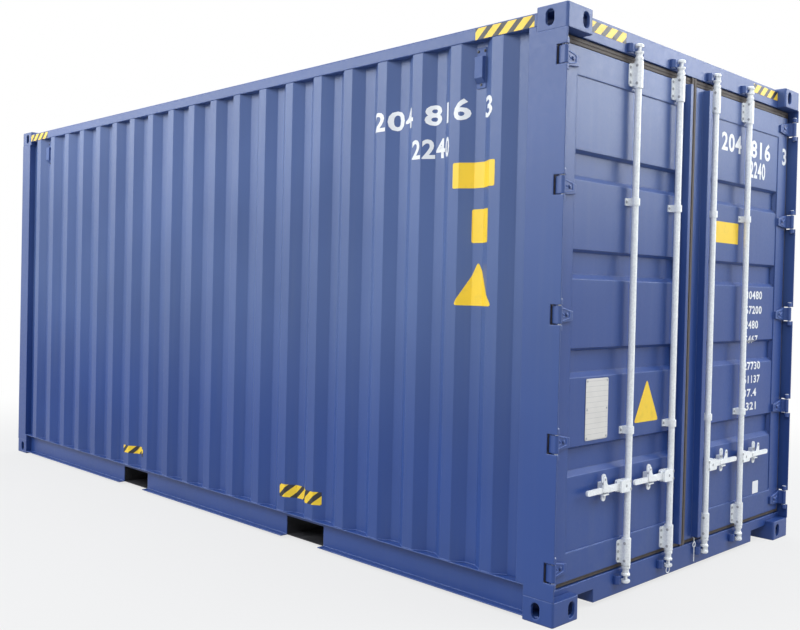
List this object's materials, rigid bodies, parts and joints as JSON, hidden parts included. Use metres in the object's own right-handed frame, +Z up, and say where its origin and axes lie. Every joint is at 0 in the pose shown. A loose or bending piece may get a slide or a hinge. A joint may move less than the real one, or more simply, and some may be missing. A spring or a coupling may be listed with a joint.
{
  "type": "shipping container",
  "caption": "Corrugated steel freight container with hollow corner castings, a board floor, fork pockets and two hinged doors closed by turning lock rods.",
  "frame": {"origin": "on the ground under the middle of the container, at the bottom centre of its box", "axes": "+X along the length towards the door end, +Y across the width, +Z up; the left door is the one at negative Y"},
  "size_m": [6.058, 2.55, 2.896],
  "materials": {
    "blue": "semi-gloss blue paint",
    "blue_sheet": "semi-gloss blue paint on folded sheet",
    "door_blue": "semi-gloss blue paint on pressed door",
    "roof": "weathered blue paint",
    "underside": "black wax coating",
    "vent": "painted plastic",
    "plywood": "varnished plywood",
    "rubber": "ribbed black rubber",
    "zinc": "galvanised"
  },
  "bodies": {
    "frame": {"bottom_castings": "blue", "top_castings": "blue", "rear_post_left": "blue", "rear_post_right": "blue", "front_post_left": "blue", "front_post_right": "blue", "door_header": "blue", "door_sill": "blue", "top_rail_left": "blue", "top_rail_right": "blue", "bottom_rail_left": "blue", "bottom_rail_right": "blue", "front_header": "blue", "front_sill": "blue", "side_wall_left": "blue_sheet", "side_wall_right": "blue_sheet", "front_wall": "blue_sheet", "roof_panel": "roof", "floor_boards": "plywood", "cross_members": "underside", "fork_pockets": "underside", "vents": "vent", "hinge_pins": "zinc", "rod_keepers": "blue"},
    "door_left": {"door_frame_left": "door_blue", "door_panel_left": "door_blue", "door_hinges_left": "blue", "door_seal_left": "rubber", "rod_guides_left": "zinc", "handle_brackets_left": "zinc"},
    "door_right": {"door_frame_right": "door_blue", "door_panel_right": "door_blue", "door_hinges_right": "blue", "door_seal_right": "rubber", "rod_guides_right": "zinc", "handle_brackets_right": "zinc"},
    "rod_1": {"lock_rod_1": "zinc"},
    "lever_1": {"handle_1": "zinc"},
    "rod_2": {"lock_rod_2": "zinc"},
    "lever_2": {"handle_2": "zinc"},
    "rod_3": {"lock_rod_3": "zinc"},
    "lever_3": {"handle_3": "zinc"},
    "rod_4": {"lock_rod_4": "zinc"},
    "lever_4": {"handle_4": "zinc"}
  },
  "joints": [
    {"name": "left_door_hinge", "type": "hinge", "parent": "frame", "child": "door_left", "pos_m": [3.011, -1.257, 1.454], "axis": [0, 0, -1], "range_deg": [0, 263]},
    {"name": "right_door_hinge", "type": "hinge", "parent": "frame", "child": "door_right", "pos_m": [3.011, 1.257, 1.454], "axis": [0, 0, 1], "range_deg": [0, 263]},
    {"name": "rod_1_turn", "type": "hinge", "parent": "door_left", "child": "rod_1", "pos_m": [3.005, -0.626, 1.454], "axis": [0, 0, -1], "range_deg": [-100, 0]},
    {"name": "rod_2_turn", "type": "hinge", "parent": "door_left", "child": "rod_2", "pos_m": [3.005, -0.203, 1.454], "axis": [0, 0, -1], "range_deg": [-100, 0]},
    {"name": "rod_3_turn", "type": "hinge", "parent": "door_right", "child": "rod_3", "pos_m": [3.005, 0.203, 1.454], "axis": [0, 0, 1], "range_deg": [-100, 0]},
    {"name": "rod_4_turn", "type": "hinge", "parent": "door_right", "child": "rod_4", "pos_m": [3.005, 0.626, 1.454], "axis": [0, 0, 1], "range_deg": [-100, 0]},
    {"name": "handle_1_lift", "type": "hinge", "parent": "rod_1", "child": "lever_1", "pos_m": [3.005, -0.668, 0.584], "axis": [-1, 0, 0], "range_deg": [0, 20]},
    {"name": "handle_2_lift", "type": "hinge", "parent": "rod_2", "child": "lever_2", "pos_m": [3.005, -0.245, 0.584], "axis": [-1, 0, 0], "range_deg": [0, 20]},
    {"name": "handle_3_lift", "type": "hinge", "parent": "rod_3", "child": "lever_3", "pos_m": [3.005, 0.245, 0.584], "axis": [1, 0, 0], "range_deg": [0, 20]},
    {"name": "handle_4_lift", "type": "hinge", "parent": "rod_4", "child": "lever_4", "pos_m": [3.005, 0.668, 0.584], "axis": [1, 0, 0], "range_deg": [0, 20]}
  ]
}
